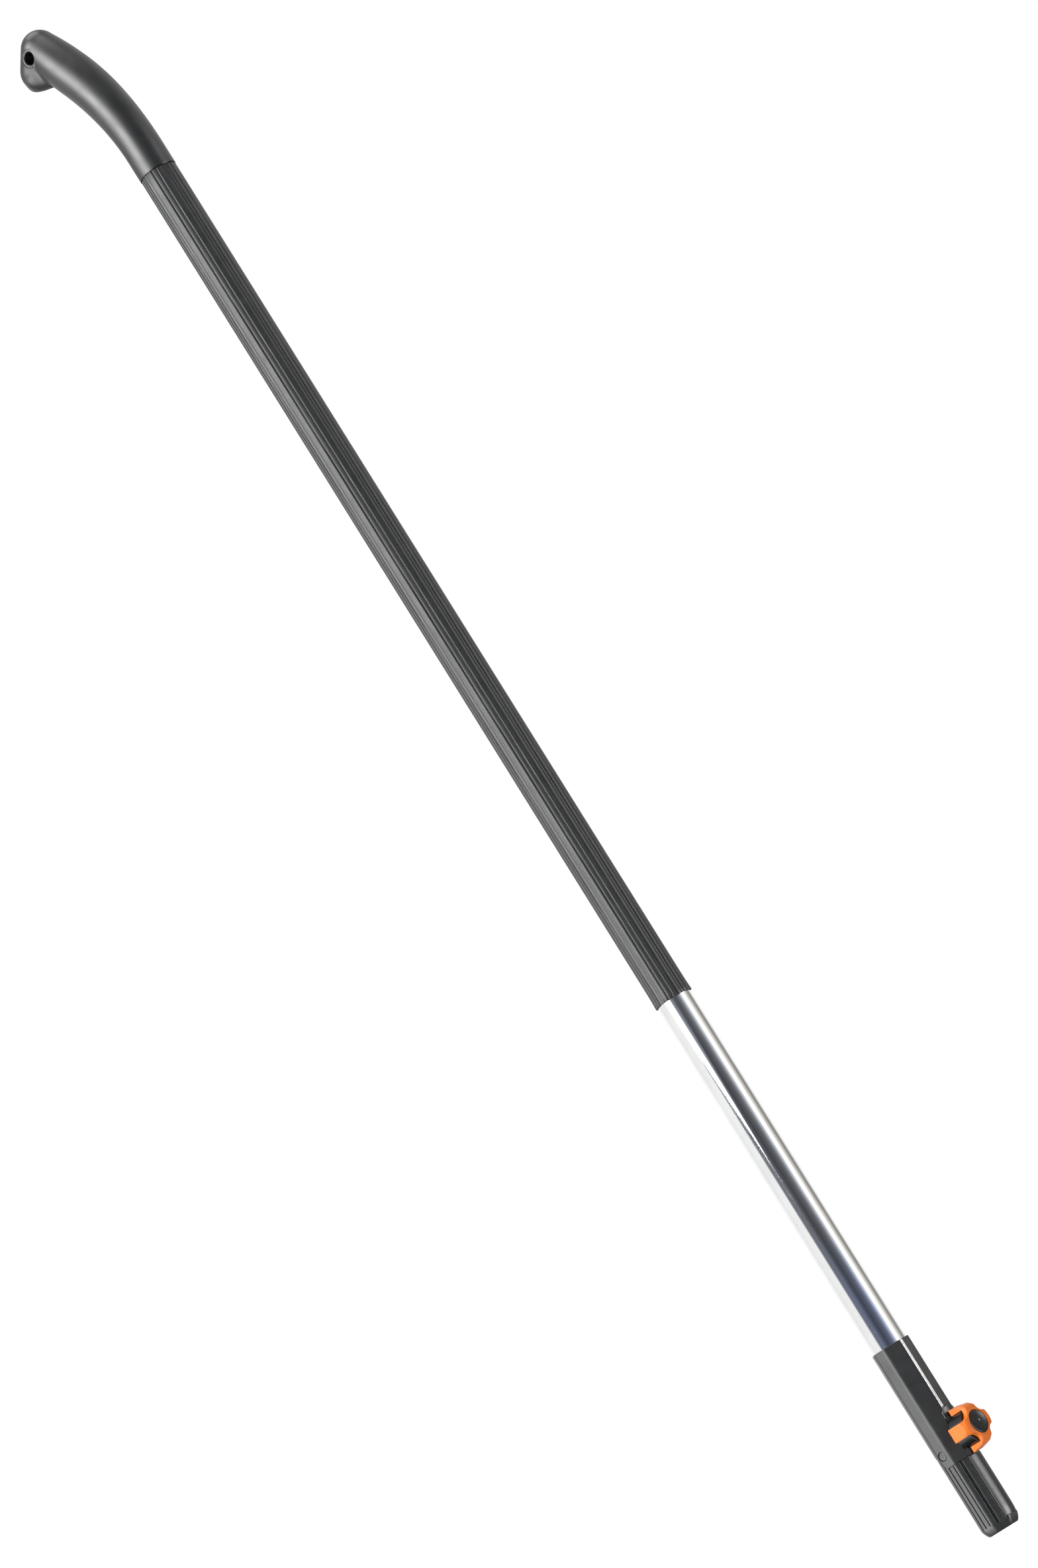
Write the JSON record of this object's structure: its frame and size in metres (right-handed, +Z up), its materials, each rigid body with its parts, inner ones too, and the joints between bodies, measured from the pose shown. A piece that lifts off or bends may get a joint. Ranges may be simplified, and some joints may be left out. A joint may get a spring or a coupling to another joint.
{
  "type": "interchangeable-tool pole",
  "caption": "Aluminium tool pole with a bent moulded end grip, a ribbed grip sleeve and a clamp-knob spigot coupling for interchangeable heads.",
  "frame": {"origin": "centre of the spigot's end face", "axes": "+Z up the pole towards the grip, +X along the clamp screw towards the knob's face; the grip bends towards -X"},
  "size_m": [0.0935, 0.0338, 1.3],
  "materials": {
    "coupling_nylon": "fine matte moulded nylon, black",
    "silver_trim": "satin silver foil",
    "brass": "machined",
    "polished_tube": "polished, fine scratches along the tube",
    "sleeve_plastic": "matte, ribbed along its length",
    "grip_plastic": "dark grey, fine grain",
    "steel": "zinc plated",
    "knob_black": "satin moulded, black",
    "knob_orange": "satin moulded, orange"
  },
  "bodies": {
    "pole": {"spigot": "coupling_nylon", "coupling_housing": "coupling_nylon", "coupling_rivet": "coupling_nylon", "grip_plug": "coupling_nylon", "stripe_inlay": "silver_trim", "threaded_insert": "brass", "pole_tube": "polished_tube", "grip_sleeve": "sleeve_plastic", "end_grip": "grip_plastic"},
    "clamp_washer": {"pressure_washer": "steel"},
    "knob": {"knob_shell": "knob_orange", "knob_core": "knob_black", "knob_cover": "knob_black", "clamp_screw": "steel", "stop_ring": "steel"}
  },
  "joints": [
    {"name": "clamp_travel", "type": "slide", "parent": "pole", "child": "clamp_washer", "axis": [1, 0, 0], "range_m": [-0.00031, 0.005]},
    {"name": "knob_turn", "type": "hinge", "parent": "clamp_washer", "child": "knob", "pos_m": [0.0155, 0, 0.0714], "axis": [1, 0, 0], "range_deg": [-90, 1440]}
  ],
  "couplings": [
    {"joint": "knob_turn", "follows": "clamp_travel", "rad_per_m": 5026.5}
  ]
}
